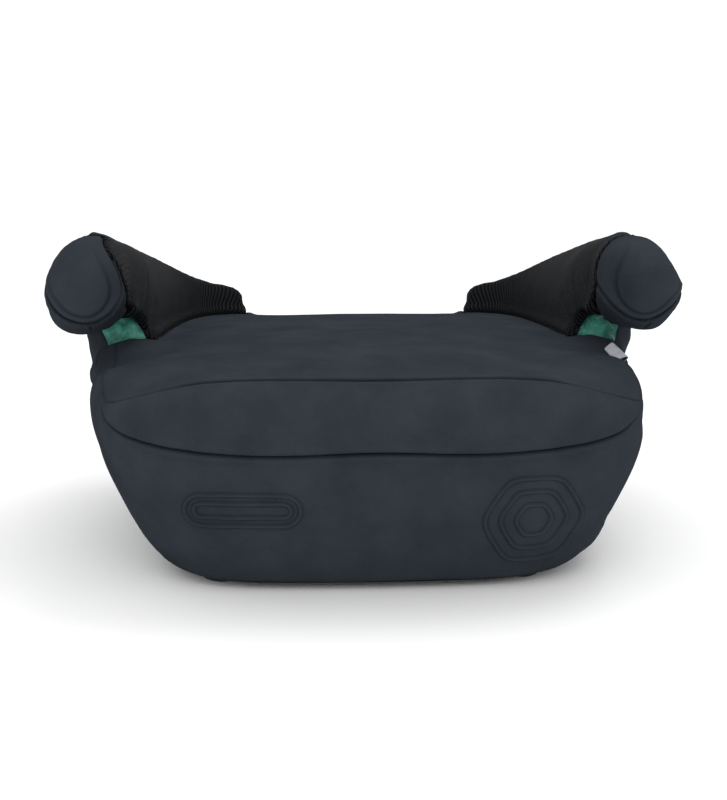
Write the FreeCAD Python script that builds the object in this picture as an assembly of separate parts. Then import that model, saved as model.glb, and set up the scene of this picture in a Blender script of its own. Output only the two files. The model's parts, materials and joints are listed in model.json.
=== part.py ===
"""Backless booster seat for a car: a moulded base with two padded armrests, foam, and a sewn cover.

Millimetres. +X is the sitter's left, -Y is the front edge of the seat, +Z is up.
The origin is on the floor, under the middle of the whole seat.

Every layer of the base and of the arms is the same form drawn smaller: the cover lies on the foam,
and the foam lies on the moulding, so neighbours share one surface and never overlap.
"""

import math
import os

import FreeCAD, Part
from FreeCAD import Placement, Rotation, Vector

# ---- driving dimensions ----
FABRIC = 2.5          # cover laminate
PADDING = 4.5         # foam under the cover on the arms
WALL = 2.8            # moulded wall
FLOOR_GAP = 3.0       # underside of the cover above the floor
TRAY_RIM = 115.0      # top of the lower moulding
DECK_TOP = 118.0      # top of the seat deck, where the arms stand
SEAT_FRONT = 150.0    # height of the seat's surface above the front edge
SEAT_BACK = 139.0     # and above the back edge
REAR_SEAM = 60.0      # y of the seams that join the front skirt to the rear one

# Outer form of the base: height, half width, front edge, back edge.
BASE_STATIONS = [
    (FLOOR_GAP, 128, -138, 152),
    (6, 136, -144, 158),
    (12, 145, -150, 164),
    (22, 155, -155.5, 169),
    (36, 165, -160.5, 173.5),
    (56, 174.5, -166.5, 178.5),
    (78, 183.5, -172.5, 183),
    (100, 188, -177, 186),
    (DECK_TOP, 188.8, -179, 186.8),
    (128, 187, -178.5, 185.5),
    (137, 180, -174, 182),
    (145, 164, -165, 173),
    (153, 138, -149, 157),
]
PLAN_POWER = 4.6      # squareness of the plan outline
OUTLINE_POINTS = 28
SIDE_SEAM = [              # y, z
    (-200, 128), (-141, 129), (-127, 133.5), (-112, 136), (-92, 138.5), (-60, 141),
    (30, 141), (90, 134), (200, 131),
]

# Left arm's crest line from the wing at the back to the neck: x, y, crest height, half thickness.
ARM_STATIONS = [
    (95, 177, 162.5, 9),
    (120, 172, 168, 11),
    (141, 159, 177, 14),
    (158, 138, 189, 18),
    (170, 110, 199.5, 21),
    (178, 78, 209, 22),
    (184.5, 40, 216.5, 24),
    (188.5, 8, 221.5, 24),
    (190.8, -25, 224, 24.2),
]
ARM_LEAN = 0.2        # inward shift of the arm's foot per millimetre below the crest
ARM_POWER = 2.6
WING_ROUND = 9.0      # rounding of the wing's upper corner

# Left horn, the padded end that holds the belt down: y, x, z, half width, half height.
HORN_STATIONS = [
    (-92, 193, 189, 9, 11),
    (-88, 193, 189, 17, 20.5),
    (-78, 193, 189, 23.5, 28),
    (-60, 192.5, 189, 27, 33),
    (-35, 191.7, 189, 28, 34),
    (-5, 188, 188, 27, 33),
    (30, 181, 186, 24, 29),
    (65, 175, 180, 19, 22),
    (90, 169, 174, 13, 14),
]
HORN_POWER = 2.1
CAP_CENTRE = Vector(192, -75, 190)
CAP_NORMAL = Vector(0.05, -0.73, 0.68)
HORN_SPLIT = -30.0    # y where the horn's moulded pad meets the arm's

# Belt slot under the horn.
SLOT_Y = -12.0
SLOT_Z = 149.0
SLOT_RADIUS = 15.5
GUIDE_REACH = 186.0   # the guide lines the slot out to this x at the slot's axis
GUIDE_LEAN = 31.0     # degrees that the guide's outer edge leans in towards its foot

# Front roll: the lens-shaped bolster between two seams, from one front corner to the other.
ROLL_SWEEP = 60.0     # degrees to each side of the middle
ROLL_TOP = 146.5
ROLL_BOTTOM = 101.5
ROLL_CORNER = 129.0
ROLL_BULGE = 8.4
ROLL_POWER = 6.5

SHANK = 2.0           # screw shank radius
HEAD = 4.2            # screw head radius
HEAD_HEIGHT = 2.6
BOSS = 6.0            # radius of the screw bosses
TRAY_SCREWS = [(x, y) for x in (-70, 70) for y in (-90, 10, 110)]
ARM_SCREWS = [(153, 32), (145, 88)]          # upright, from under the deck into each arm
CROSS_SCREWS = [(-42, 190), (38, 172), (84, 160)]   # y and z of the screws that close each arm

FOOT_RADIUS = 14.0
FOOT_STEM = 3.0
FOOT_KNOB = 4.5
FOOT_PLACES = [(x, y) for x in (-100, 100) for y in (-108, 122)]
HEM_WIDTH = 22.0
HEM_CORNER = 48.0     # plan radius of the hem's inner corners
HEM_BEAD = 2.0        # radius of the channel round the elastic
CORD = 1.2            # radius of the elastic

# Label loop: a strip of tape folded in half, its two ends sewn into the left side seam.
LABEL_START = Vector(169, -39.5, 142.3)
LABEL_END = Vector(177.5, -54, 138.2)
LABEL_OUT = Vector(0.72, 0.1, 0.68)
LABEL_REACH = 8.5
LABEL_GAP = 2.2       # half the opening between the two plies
TAPE = 0.7

FAR = 400.0


# ---- small helpers ----
def signed_power(value, power):
    return math.copysign(abs(value) ** power, value)


def closed_curve(points):
    curve = Part.BSplineCurve()
    curve.interpolate(Points=points, PeriodicFlag=True)
    return Part.Wire([curve.toShape()])


def open_curve(points):
    curve = Part.BSplineCurve()
    curve.interpolate(Points=points)
    return curve


def loft(wires):
    return Part.makeLoft(wires, True, False, False, 3)


def profile_normals(profile):
    """Inward unit normals of a profile given as (along, radius) pairs."""
    normals = []
    for i in range(len(profile)):
        a = profile[max(i - 1, 0)]
        b = profile[min(i + 1, len(profile) - 1)]
        along, radius = b[0] - a[0], b[1] - a[1]
        length = math.hypot(along, radius)
        normals.append((radius / length, -along / length))
    return normals


def slab(low, high):
    return Part.makeBox(2 * FAR, 2 * FAR, high - low, Vector(-FAR, -FAR, low))


def upright(radius, low, high, x, y):
    return Part.makeCylinder(radius, high - low, Vector(x, y, low))


def union(shapes):
    return shapes[0].multiFuse(shapes[1:])


def mirrored(shape):
    return shape.mirror(Vector(0, 0, 0), Vector(1, 0, 0))


# ---- the base's outer form ----
def plan_outline(z, half_width, front, back):
    middle, half_depth = (front + back) / 2, (back - front) / 2
    points = []
    for i in range(OUTLINE_POINTS):
        a = 2 * math.pi * (i + 0.5) / OUTLINE_POINTS
        x = half_width * signed_power(math.cos(a), 2 / PLAN_POWER)
        y = middle + half_depth * signed_power(math.sin(a), 2 / PLAN_POWER)
        points.append(Vector(x, y, z))
    return closed_curve(points)


def inset_stations(inset):
    normals = profile_normals([(s[0], s[1]) for s in BASE_STATIONS])
    stations = []
    for (z, half, front, back), (up, out) in zip(BASE_STATIONS, normals):
        side = inset * -out
        stations.append((z + inset * up, half - side, front + side, back - side))
    return stations


def above_seat(inset):
    """Everything over the sloping seat surface."""
    depth = BASE_STATIONS[8][3] - BASE_STATIONS[8][2]
    box = Part.makeBox(2 * FAR, 2 * FAR, FAR, Vector(-FAR, -FAR, 0))
    box.rotate(Vector(0, 0, 0), Vector(1, 0, 0), math.degrees(math.atan2(SEAT_BACK - SEAT_FRONT, depth)))
    box.translate(Vector(0, 0, (SEAT_FRONT + SEAT_BACK) / 2 - inset))
    return box


def base_form(inset):
    return loft([plan_outline(*s) for s in inset_stations(inset)]).cut(above_seat(inset))


def above_side_seam():
    """Everything over the seam between the seat's top panel and its skirt."""
    corners = [Vector(-FAR, y, z) for y, z in SIDE_SEAM] + [Vector(-FAR, 200, FAR), Vector(-FAR, -200, FAR)]
    return Part.Face(Part.makePolygon(corners + corners[:1])).extrude(Vector(2 * FAR, 0, 0))


# ---- the front roll ----
def front_point(angle, z):
    """Point on the front of the base's outer form, by height and by angle round the plan."""
    for low, high in zip(BASE_STATIONS, BASE_STATIONS[1:]):
        if low[0] <= z <= high[0]:
            share = (z - low[0]) / (high[0] - low[0])
            half, front, back = (low[i] + share * (high[i] - low[i]) for i in (1, 2, 3))
    x = half * signed_power(math.sin(angle), 2 / PLAN_POWER)
    y = (front + back) / 2 - (back - front) / 2 * math.cos(angle) ** (2 / PLAN_POWER)
    return Vector(x, y, z)


def roll_section(share, inset, sunk):
    """Arc between the roll's two seams, closed by its chord or by a box sunk behind the chord."""
    angle = math.radians(ROLL_SWEEP) * share
    across = front_point(angle, ROLL_CORNER).x / front_point(math.radians(ROLL_SWEEP), ROLL_CORNER).x
    swell = 1 - abs(across) ** ROLL_POWER
    top = ROLL_CORNER + (ROLL_TOP - ROLL_CORNER) * swell + 0.8
    low = ROLL_CORNER - (ROLL_CORNER - ROLL_BOTTOM) * swell - 0.8
    upper, lower = front_point(angle, top), front_point(angle, low)
    out = Vector(math.sin(angle) ** 3, -math.cos(angle), 0).normalize()
    bulge = 1.2 + (ROLL_BULGE - 1.2) * (1 - share ** 4)
    crown = front_point(angle, (top + low) / 2) + out * (bulge - min(inset, bulge - 0.6))
    chord = (lower - upper).normalize()
    upper = upper + chord * (inset * 0.2)
    lower = lower - chord * (inset * 0.2)
    arc = Part.Arc(upper, crown, lower).toShape()
    corners = [lower, lower - out * sunk, upper - out * sunk, upper] if sunk else [lower, upper]
    return Part.Wire([arc] + [Part.makeLine(a, b) for a, b in zip(corners, corners[1:])])


def roll_form(inset, sunk):
    steps = [-1, -0.9, -0.75, -0.5, -0.25, 0, 0.25, 0.5, 0.75, 0.9, 1]
    return loft([roll_section(s, inset, sunk) for s in steps])


# ---- the arms' outer form, left arm ----
def arm_frames(inset):
    """Each station of the arm: place on the plan, outward direction, crest height, half thickness."""
    places = [Vector(s[0], s[1], 0) for s in ARM_STATIONS]
    last = len(places) - 1
    frames = []
    for i, (x, y, crest, half) in enumerate(ARM_STATIONS):
        along = (places[min(i + 1, last)] - places[max(i - 1, 0)]).normalize()
        shift = {0: inset, last: -inset}.get(i, 0)
        frames.append((places[i] + along * shift, Vector(-along.y, along.x, 0), crest, half))
    return frames


def arm_section(place, out, crest, half, inset):
    """Upright arch across the arm, standing on the deck and leaning outwards."""
    height = crest - inset - DECK_TOP
    points = []
    for i in range(17):
        a = math.pi * i / 16
        rise = height * signed_power(math.sin(a), 2 / ARM_POWER)
        lean = ARM_LEAN * (height + inset - rise)
        across = (half - inset) * signed_power(math.cos(a), 2 / ARM_POWER) - lean
        points.append(place + out * across + Vector(0, 0, DECK_TOP + rise))
    return Part.Wire([open_curve(points).toShape(), Part.makeLine(points[-1], points[0])])


def wing_corner(inset):
    """Everything outside the rounded upper corner at the wing's inner end."""
    x, crest = ARM_STATIONS[0][0] + inset, ARM_STATIONS[0][2] - inset
    radius = max(WING_ROUND - inset, 2.0)
    corner = Part.makeBox(radius + 20, FAR, 40, Vector(x - 20, 0, crest - radius))
    return corner.cut(Part.makeCylinder(radius, FAR, Vector(x + radius, 0, crest - radius), Vector(0, 1, 0)))


def arm_wall(inset):
    return loft([arm_section(*frame, inset) for frame in arm_frames(inset)]).cut(wing_corner(inset))


def horn(inset):
    normals = profile_normals([(s[0], (s[3] + s[4]) / 2) for s in HORN_STATIONS])
    wires = []
    for (y, x, z, half_w, half_h), (back, out) in zip(HORN_STATIONS, normals):
        shrink = inset * -out
        points = []
        for i in range(20):
            a = 2 * math.pi * i / 20
            points.append(Vector(
                x + (half_w - shrink) * signed_power(math.cos(a), 2 / HORN_POWER),
                y + inset * back,
                z + (half_h - shrink) * signed_power(math.sin(a), 2 / HORN_POWER),
            ))
        wires.append(closed_curve(points))
    return loft(wires)


def belt_slot(inset):
    radius = SLOT_RADIUS + inset
    throat = Part.makeCylinder(radius, FAR, Vector(0, SLOT_Y, SLOT_Z), Vector(1, 0, 0))
    mouth = Part.makeBox(FAR, FAR, 2 * radius, Vector(0, SLOT_Y - FAR, SLOT_Z - radius))
    return throat.fuse(mouth)


def arm_form(inset):
    return arm_wall(inset).cut(belt_slot(inset)).fuse(horn(inset))


def sitter_side():
    """Everything on the sitter's side of the left arm's leaning middle surface."""
    wires = []
    for z in (DECK_TOP - 20, 240):
        crest_line = [p + out * (ARM_LEAN * (z - crest)) for p, out, crest, half in arm_frames(0)]
        tail, nose = crest_line[0] + Vector(-40, 9, 0), crest_line[-1] + Vector(9, -40, 0)
        points = [Vector(p.x, p.y, z) for p in [tail] + crest_line + [nose]]
        corners = [points[-1], Vector(points[-1].x, -FAR, z), Vector(0, -FAR, z), Vector(0, FAR, z)]
        corners += [Vector(points[0].x, FAR, z), points[0]]
        edges = [open_curve(points).toShape()]
        edges += [Part.makeLine(a, b) for a, b in zip(corners, corners[1:])]
        wires.append(Part.Wire(edges))
    return Part.makeLoft(wires, True, True)


def horn_cap_side():
    """Everything in front of the seam ring round the horn's cap."""
    box = Part.makeBox(FAR, FAR, FAR, Vector(-FAR / 2, -FAR / 2, 0))
    turn = Rotation(Vector(0, 0, 1), CAP_NORMAL)
    box.Placement = Placement(CAP_CENTRE, turn).multiply(box.Placement)
    return box


# ---- mouldings, foam and fasteners ----
def plate_level():
    """Underside and top of the tray's bottom plate."""
    return inset_stations(FABRIC)[0][0], inset_stations(FABRIC + WALL)[0][0]


def base_tray(base):
    tray = base[FABRIC].cut(base[FABRIC + WALL]).common(slab(0, TRAY_RIM))
    holes = [upright(SHANK, 0, 20, x, y) for x, y in TRAY_SCREWS]
    holes += [upright(FOOT_STEM, 0, 20, x, y) for x, y in FOOT_PLACES]
    return tray.cut(union(holes))


def seat_deck(base):
    plate_top = plate_level()[1]
    deck = base[FABRIC].common(slab(TRAY_RIM, DECK_TOP))
    deck = deck.fuse([upright(BOSS, plate_top, TRAY_RIM, x, y) for x, y in TRAY_SCREWS])
    holes = [upright(SHANK, 0, 34, x, y) for x, y in TRAY_SCREWS]
    holes += [upright(SHANK, 100, 130, side * x, y) for x, y in ARM_SCREWS for side in (-1, 1)]
    return deck.cut(union(holes))


def eps_core(base):
    plate_top = plate_level()[1]
    core = base[FABRIC + WALL].common(slab(0, TRAY_RIM))
    holes = [upright(BOSS, 0, TRAY_RIM, x, y) for x, y in TRAY_SCREWS]
    holes += [upright(FOOT_KNOB, 0, plate_top + 3, x, y) for x, y in FOOT_PLACES]
    low = TRAY_RIM - HEAD_HEIGHT
    holes += [upright(HEAD, low, TRAY_RIM, side * x, y) for x, y in ARM_SCREWS for side in (-1, 1)]
    return core.cut(union(holes))


def upright_screw(x, y, seat, tip):
    """Pan-head screw driven upwards, its head under the face at height `seat`."""
    return union([upright(HEAD, seat - HEAD_HEIGHT, seat, x, y), upright(SHANK, seat, tip, x, y)])


def tray_screws():
    return Part.makeCompound([upright_screw(x, y, plate_level()[0], 32) for x, y in TRAY_SCREWS])


def arm_mounting_screws():
    places = [(side * x, y) for x, y in ARM_SCREWS for side in (-1, 1)]
    return Part.makeCompound([upright_screw(x, y, TRAY_RIM, 140) for x, y in places])


def rubber_feet():
    bottom, top = plate_level()
    feet = []
    for x, y in FOOT_PLACES:
        pad = upright(FOOT_RADIUS, 0, bottom, x, y)
        pad = pad.makeFillet(1.2, [pad.Edges[i] for i in range(len(pad.Edges)) if pad.Edges[i].BoundBox.ZMax < 0.1])
        stem = upright(FOOT_STEM, bottom, top, x, y)
        feet.append(union([pad, stem, upright(FOOT_KNOB, top, top + 3, x, y)]))
    return Part.makeCompound(feet)


def cross_rod(radius, y, z, low, high):
    return Part.makeCylinder(radius, high - low, Vector(low, y, z), Vector(1, 0, 0))


def cross_head_seat(arm, y, z):
    """X of the face under the head of one screw that closes the arm, just inside the outer wall."""
    ray = Part.makeLine(Vector(0, y, z), Vector(FAR, y, z))
    return ray.common(arm[FABRIC + PADDING]).BoundBox.XMax - HEAD_HEIGHT - 1.5


def arm_shells(arm, inside):
    skin = arm[FABRIC + PADDING].cut(arm[FABRIC + PADDING + WALL])
    core = arm_form(FABRIC + PADDING + WALL / 2)
    posts = union([cross_rod(BOSS, y, z, 0, FAR) for y, z in CROSS_SCREWS]).common(core)
    bosses = union([upright(BOSS, DECK_TOP, 144, x, y) for x, y in ARM_SCREWS]).common(core).common(inside)
    inner = skin.common(inside).fuse(posts.common(inside)).fuse(bosses)
    outer = skin.cut(inside).fuse(posts.cut(inside))
    for y, z in CROSS_SCREWS:
        seat = cross_head_seat(arm, y, z)
        shank = cross_rod(SHANK, y, z, seat - 24, seat)
        inner = inner.cut(shank)
        outer = outer.cut(shank).cut(cross_rod(HEAD, y, z, seat, FAR))
    holes = union([upright(SHANK, 100, 140, x, y) for x, y in ARM_SCREWS])
    return inner.cut(holes), outer


def arm_screws(arm):
    screws = []
    for y, z in CROSS_SCREWS:
        seat = cross_head_seat(arm, y, z)
        head = cross_rod(HEAD, y, z, seat, seat + HEAD_HEIGHT)
        screws.append(head.fuse(cross_rod(SHANK, y, z, seat - 24, seat)))
    return Part.makeCompound(screws)


def arm_foams(arm):
    foam = arm[FABRIC].cut(arm[FABRIC + PADDING])
    front = Part.makeBox(FAR, FAR, FAR, Vector(0, HORN_SPLIT - FAR, 0))
    return foam.cut(front), foam.common(front)


def arm_covers(arm, inside):
    """The arm's mesh panel, outer panel, horn cap and belt guide."""
    cover = arm[0].cut(arm[FABRIC])
    guide = arm_wall(FABRIC).common(belt_slot(FABRIC)).cut(belt_slot(0)).cut(horn(0))
    beyond = Part.makeBox(FAR, 2 * FAR, 2 * FAR, Vector(0, -FAR, -FAR))
    beyond.rotate(Vector(0, 0, 0), Vector(0, 1, 0), GUIDE_LEAN)
    beyond.translate(Vector(GUIDE_REACH, 0, SLOT_Z))
    guide = guide.cut(beyond)
    cover = cover.cut(guide)
    cap = cover.common(horn_cap_side())
    rest = cover.cut(horn_cap_side())
    return rest.common(inside), rest.cut(inside), cap, guide


# ---- hem, elastic and label ----
def hem_wire(grow):
    """Rounded rectangle under the tray, the hem's inner edge grown outwards by a distance."""
    half, front, back = (abs(v) for v in BASE_STATIONS[0][1:])
    z = plate_level()[0] - HEM_BEAD
    x, low, high = half - HEM_WIDTH + grow, HEM_WIDTH - front - grow, back - HEM_WIDTH + grow
    r = HEM_CORNER + grow
    centres = [(x - r, high - r, 0), (r - x, high - r, 90), (r - x, low + r, 180), (x - r, low + r, 270)]
    arcs = []
    for cx, cy, start in centres:
        arc = Part.makeCircle(r, Vector(cx, cy, z), Vector(0, 0, 1), start, start + 90)
        arcs.append(arc)
    edges = []
    for i, arc in enumerate(arcs):
        following = arcs[(i + 1) % 4]
        edges.append(arc)
        edges.append(Part.makeLine(arc.valueAt(arc.LastParameter), following.valueAt(following.FirstParameter)))
    return Part.Wire(edges)


def swept_cord(radius):
    """Round cord along the hem's inner edge."""
    pieces = []
    for edge in hem_wire(0).Edges:
        start, tangent = edge.valueAt(edge.FirstParameter), edge.tangentAt(edge.FirstParameter)
        ring = Part.Wire([Part.makeCircle(radius, start, tangent)])
        pieces.append(Part.Wire([edge]).makePipeShell([ring], True, True))
    return union(pieces)


def hem_band(base):
    bottom = plate_level()[0]
    hole = Part.Face(hem_wire(0)).extrude(Vector(0, 0, 20))
    flat = base[0].cut(base[FABRIC]).common(slab(0, bottom)).cut(hole)
    return flat.fuse(swept_cord(HEM_BEAD)).cut(swept_cord(CORD))


def label_loop(base):
    """Folded tape drawn as a U and extruded along the seam."""
    along = LABEL_END - LABEL_START
    unit = Vector(along).normalize()
    out = (LABEL_OUT - unit * LABEL_OUT.dot(unit)).normalize()
    up = unit.cross(out)

    def outline(gap, reach):
        side = up * gap
        fold = out * reach
        corners = [side * -1, fold - side, fold + out * gap, fold + side, side]
        bend = Part.Arc(corners[1], corners[2], corners[3]).toShape()
        edges = [Part.makeLine(corners[0], corners[1]), bend, Part.makeLine(corners[3], corners[4])]
        edges.append(Part.makeLine(corners[4], corners[0]))
        return Part.Face(Part.Wire(edges)).extrude(along)

    reach = LABEL_REACH - LABEL_GAP - TAPE
    loop = outline(LABEL_GAP + TAPE, reach).cut(outline(LABEL_GAP, reach))
    loop.translate(LABEL_START)
    return loop.cut(base[0])


# ---- assembly ----
def export(name, shape):
    solids = [s for s in shape.Solids if s.Volume > 20.0 or name == "label_loop"]
    Part.makeCompound(solids).exportStep(f"parts/{name}.step")
    print(f"{name:24s} solids {len(solids):2d}  {sum(s.Volume for s in solids) / 1000:9.2f} cm3  "
          f"valid {all(s.isValid() for s in solids)}")


def export_both_sides(name, shape):
    export(f"left_{name}", shape)
    export(f"right_{name}", mirrored(shape))


def main():
    os.makedirs("parts", exist_ok=True)
    base = {i: base_form(i) for i in (0, FABRIC, FABRIC + WALL)}
    arm = {i: arm_form(i) for i in (0, FABRIC, FABRIC + PADDING, FABRIC + PADDING + WALL)}
    arms = arm[0].fuse(mirrored(arm[0]))
    roll = roll_form(0, 0).cut(base[FABRIC].common(slab(0, DECK_TOP)))
    roll_core = roll_form(FABRIC, 12)
    inside = sitter_side()

    export("base_tray", base_tray(base))
    export("eps_core", eps_core(base))
    export("seat_deck", seat_deck(base))
    export("tray_screws", tray_screws())
    export("arm_mounting_screws", arm_mounting_screws())
    export("rubber_feet", rubber_feet())

    inner_shell, outer_shell = arm_shells(arm, inside)
    export_both_sides("arm_inner_shell", inner_shell)
    export_both_sides("arm_outer_shell", outer_shell)
    export_both_sides("arm_screws", arm_screws(arm))
    arm_foam, horn_foam = arm_foams(arm)
    export_both_sides("arm_foam", arm_foam)
    export_both_sides("horn_foam", horn_foam)

    export("seat_foam", base[FABRIC].common(slab(DECK_TOP, FAR)).cut(arms).cut(roll))
    export("front_roll_foam", roll.common(roll_core))

    skin = base[0].cut(base[FABRIC]).cut(arms).cut(roll)
    skirt = skin.cut(above_side_seam()).common(slab(plate_level()[0], FAR))
    rear = Part.makeBox(2 * FAR, FAR, FAR, Vector(-FAR, REAR_SEAM, 0))
    export("seat_top_cover", skin.common(above_side_seam()))
    export("front_roll_cover", roll.cut(roll_core))
    export("front_skirt_cover", skirt.cut(rear))
    export("rear_skirt_cover", skirt.common(rear))

    mesh, outer, cap, guide = arm_covers(arm, inside)
    export_both_sides("arm_mesh_cover", mesh)
    export_both_sides("arm_outer_cover", outer)
    export_both_sides("horn_cap_cover", cap)
    export_both_sides("belt_guide", guide)

    export("hem_band", hem_band(base))
    export("hem_elastic", swept_cord(CORD))
    export("label_loop", label_loop(base))


main()
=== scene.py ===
"""Backless booster seat: the looks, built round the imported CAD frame.

The sewn cover is one skin drawn round the CAD solids. It is pulled taut over the arms, filled out
by a short cloth run with its seams held, cut into separate panels along its seams, and then given
its sunk seams, creases and embossing. Lengths are metres, written as multiples of MM, unless their
comment says mm. Left is the sitter's left, +X. Mirrored shapes count x outwards.
"""

import json
import math

import bmesh
import bpy
import numpy as np
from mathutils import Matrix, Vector, noise
from mathutils.bvhtree import BVHTree
from mathutils.kdtree import KDTree


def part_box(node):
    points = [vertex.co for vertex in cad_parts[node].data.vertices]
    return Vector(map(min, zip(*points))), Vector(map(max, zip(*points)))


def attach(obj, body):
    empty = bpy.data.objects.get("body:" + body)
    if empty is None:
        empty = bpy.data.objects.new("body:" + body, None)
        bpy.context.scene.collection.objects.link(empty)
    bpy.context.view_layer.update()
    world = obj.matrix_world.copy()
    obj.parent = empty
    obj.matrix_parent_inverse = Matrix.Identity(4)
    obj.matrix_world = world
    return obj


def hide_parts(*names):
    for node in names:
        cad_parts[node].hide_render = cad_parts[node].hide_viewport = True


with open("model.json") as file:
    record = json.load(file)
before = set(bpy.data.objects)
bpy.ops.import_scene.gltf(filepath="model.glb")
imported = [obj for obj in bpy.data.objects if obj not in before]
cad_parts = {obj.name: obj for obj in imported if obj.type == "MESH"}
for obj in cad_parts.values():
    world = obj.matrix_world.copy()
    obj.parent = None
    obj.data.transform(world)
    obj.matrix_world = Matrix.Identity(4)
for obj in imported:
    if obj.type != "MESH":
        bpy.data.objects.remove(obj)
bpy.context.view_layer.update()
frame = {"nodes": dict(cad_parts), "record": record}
NODES = frame["nodes"]
RIGID = ("shell", "core", "deck", "tray")   # endings of the rigid nodes that the cover touches
MM = 0.001

# ---- the skin ----
SKIN_VOXEL = 3.3 * MM
SKIN_ROUNDS = 16            # smoothing rounds, in and out by turns, against the voxels' steps
FABRIC = 2.1 * MM           # thickness of a finished panel
BRIDGE_ROUNDS = 200         # smoothing rounds that let the cover span the step under each armrest
SOFTEN_ROUNDS = 50          # smoothing rounds that then round off the foot of each armrest
TAUT_ROUNDS = 90            # smoothing rounds that pull the cover taut over the arms
TAUT_FADE = (2, 11)         # mm from a seam: held at the first, free to move at the second
PADDING_GIVE = 0.5 * MM     # the taut cover presses the padding in no further than this
FRAME_GAP = 1.2 * MM        # the skin stays this far outside the rigid parts
FRAME_SEARCH = 7 * MM       # and is lifted out from no deeper than this
SEAM_REACH = 16 * MM        # distances to a panel are measured no further than this
FINE_BAND = 5.5 * MM        # the skin is refined this near to a seam
REFINE_LEVELS = 3           # the last of them only beside the embossing

# ---- the cloth run ----
SHRINK = 2.0 * MM           # the skin starts this much smaller, then fills out
CLOTH_STEPS = 20
SEAM_HOLD = (8.5, 1.5)      # mm from a seam: free to move at the first, held at the second
FOOT_HOLD = (14, 8)         # mm above the floor: free at the first, held at the second

# ---- panels ----
KNIT, MESH = "charcoal_knit", "black_mesh"
# panel: CAD node whose region it is, CAD nodes it stands for, material slot, padding fill or None,
# and how far the filling may push it out
PANELS = {
    "seat_top_panel": ("seat_top_cover", ["seat_top_cover", "seat_foam"], KNIT, 0.6, 4.5 * MM),
    "front_roll_panel": (
        "front_roll_cover", ["front_roll_cover", "front_roll_foam"], KNIT, 0.7, 3.5 * MM),
    "front_skirt_panel": ("front_skirt_cover", ["front_skirt_cover"], KNIT, None, 2.6 * MM),
    "rear_skirt_panel": ("rear_skirt_cover", ["rear_skirt_cover"], KNIT, None, 2.6 * MM),
}
for SIDE in ("left", "right"):
    MESH_COVER, OUTER_COVER = f"{SIDE}_arm_mesh_cover", f"{SIDE}_arm_outer_cover"
    CAP_COVER, GUIDE = f"{SIDE}_horn_cap_cover", f"{SIDE}_belt_guide"
    PANELS[f"{SIDE}_arm_mesh_panel"] = (
        MESH_COVER, [MESH_COVER, f"{SIDE}_arm_foam"], MESH, 0.6, 2.6 * MM)
    PANELS[f"{SIDE}_arm_outer_panel"] = (OUTER_COVER, [OUTER_COVER], KNIT, 0.6, 3 * MM)
    PANELS[f"{SIDE}_horn_cap_panel"] = (
        CAP_COVER, [CAP_COVER, f"{SIDE}_horn_foam"], KNIT, 0.8, 3 * MM)
    PANELS[f"{SIDE}_belt_guide_panel"] = (GUIDE, [GUIDE], "green_satin", None, 0.5 * MM)
NAMES = list(PANELS)
INDEX = {name: i for i, name in enumerate(NAMES)}
MESH_PANELS = {INDEX["left_arm_mesh_panel"], INDEX["right_arm_mesh_panel"]}

# ---- the two horns' seam rings, which differ a little from side to side as sewn ones do ----
# seen from the front, a ring's radius in mm is a constant plus once and twice turning terms
RING_CENTRE = Vector((0.194, -0.085, 0.196))
RING = {"left": (29.5, -0.8, 3.8, -0.1, 3.9), "right": (28.2, 0.4, 2.5, -1.3, 4.0)}
# over the top the ring lies no further back than a y, which moves with height and with x
RING_TOP = (0.192, 0.221)       # x, z where that y is measured
RING_BACK = {"left": (-0.045, 0.3, 1.0), "right": (-0.045, 0.8, 1.2)}  # y, slopes down and inwards
RING_BEND = 8 * MM              # how softly the inward slope sets in
RING_ROUND = 12 * MM            # how softly the ring's side turns into its top
RING_LEAN = 0.75                # a step in y counts this much towards the distance to the ring
WELT = 5.0 * MM                 # a second line runs this far inside the ring

# ---- belt guide: the satin shows on the slot's back, between two leaning edges ----
SLOT_AXIS = (-0.012, 0.149)     # y, z
SATIN_RADIUS = 18.5 * MM
GUIDE_SPREAD = 5 * MM           # the satin runs this far past the CAD guide's region
GUIDE_INNER = {"left": (0.158, 0.62), "right": (0.157, 0.58)}  # x at the slot's axis, and its gain
GUIDE_OUTER = {"left": (0.185, 0.60), "right": (0.184, 0.60)}  # with height
GUIDE_BOW = (18, 9)             # how much the inner and the outer edge curve

# ---- mesh: the armrest's inner face, over the crest and round the wing's end ----
ARM_CENTRE = (0.095, -0.025)    # x, y of the middle of the rounded corner that the armrest follows
ARM_REACH = (0.096, 0.202)      # from there to the armrest's mid-line, sideways and backwards
ARM_POWER = 2.25
MESH_OVER_CREST = 6 * MM
MESH_FRONT = {"left": (-0.040, 12), "right": (-0.066, 33)}  # y of its front edge, its sweep back
MESH_LEAN = 0.7                 # a step in y counts this much towards the distance to that edge
MESH_FRONT_TOP = 0.205          # below this height the front edge sweeps back to the guide
MESH_BACK = (-0.026, 0.172, 0.5)    # but no further than a y, which inside an x moves forwards

# ---- outline: how far each side stands out from the CAD's, as (height, shift) in mm ----
# the two sides differ because stuffing and a sewn cover are never quite even
SIDE_TRIM = {
    "left": [(5, 6), (18, 11), (36, 5), (95, 3), (119, -1.5), (142, 6), (165, -2.5), (192, -2.7),
             (208, -6.2)],
    "right": [(5, 2), (12, 5), (34, 1), (90, 0.5), (122, 6), (136, 7), (165, 4.6), (186, 0.8),
              (208, -1.4)],
}
TRIM_LEVEL = 4 * MM         # the present outline is measured in slices this thick
TRIM_INNER = 0.6            # a trim fades in from this share of the outline
ARM_FOOT = 0.150            # height where the armrests stand clear of the base
BASE_TRIM = ([-0.19, -0.15, 0.10, 0.16], [0.3, 1, 1, 0])   # y, and the share of the trim there
ARM_TRIM = ([0.0, 0.05], [1, 0])

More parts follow.
